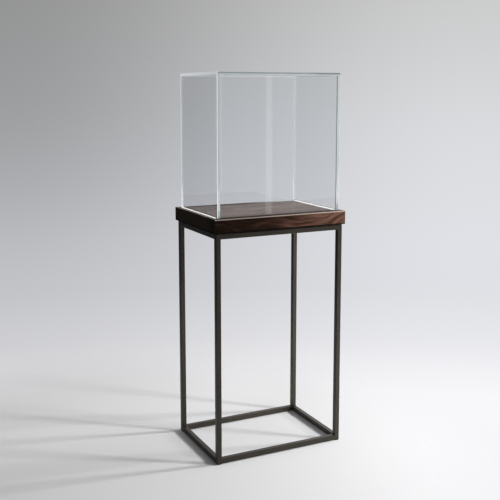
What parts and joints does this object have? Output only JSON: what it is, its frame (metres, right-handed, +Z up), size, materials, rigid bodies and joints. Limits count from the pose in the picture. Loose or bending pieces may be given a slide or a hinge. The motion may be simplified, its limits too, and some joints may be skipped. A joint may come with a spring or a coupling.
{
  "type": "pedestal display case",
  "caption": "Clear glass bonnet that lifts off a walnut deck, carried on a slim open stand of bronze square tube, for showing one object at standing height.",
  "frame": {"origin": "on the floor, under the middle of the deck", "axes": "+Z up, -Y towards the front (one of the two long sides), +X to the right seen from the front"},
  "size_m": [0.541, 0.381, 1.43],
  "materials": {
    "bronze_paint": "satin dark bronze powder coat",
    "black_nylon": "moulded, matte",
    "black_zinc": "black zinc plated",
    "brass": "turned",
    "walnut": "satin oiled walnut, grain along X",
    "clear_silicone": "translucent, matte",
    "clear_glass": "polished low-iron glass"
  },
  "bodies": {
    "stand": {"post_front_left": "bronze_paint", "post_front_right": "bronze_paint", "post_rear_right": "bronze_paint", "post_rear_left": "bronze_paint", "lower_rail_front": "bronze_paint", "lower_rail_rear": "bronze_paint", "lower_rail_left": "bronze_paint", "lower_rail_right": "bronze_paint", "upper_rail_front": "bronze_paint", "upper_rail_rear": "bronze_paint", "upper_rail_left": "bronze_paint", "upper_rail_right": "bronze_paint", "corner_plate_front_left": "bronze_paint", "corner_plate_front_right": "bronze_paint", "corner_plate_rear_right": "bronze_paint", "corner_plate_rear_left": "bronze_paint", "glide_front_left": "black_nylon", "glide_front_right": "black_nylon", "glide_rear_right": "black_nylon", "glide_rear_left": "black_nylon", "deck_screw_front_left": "black_zinc", "deck_screw_front_right": "black_zinc", "deck_screw_rear_right": "black_zinc", "deck_screw_rear_left": "black_zinc", "threaded_insert_front_left": "brass", "threaded_insert_front_right": "brass", "threaded_insert_rear_right": "brass", "threaded_insert_rear_left": "brass", "walnut_deck": "walnut", "cushion_strip_front": "clear_silicone", "cushion_strip_rear": "clear_silicone", "cushion_strip_left": "clear_silicone", "cushion_strip_right": "clear_silicone"},
    "bonnet": {"pane_front": "clear_glass", "pane_rear": "clear_glass", "pane_left": "clear_glass", "pane_right": "clear_glass", "pane_top": "clear_glass"}
  },
  "joints": [
    {"name": "bonnet_lift", "type": "slide", "parent": "stand", "child": "bonnet", "axis": [0, 0, 1], "range_m": [0, 0.55]}
  ]
}
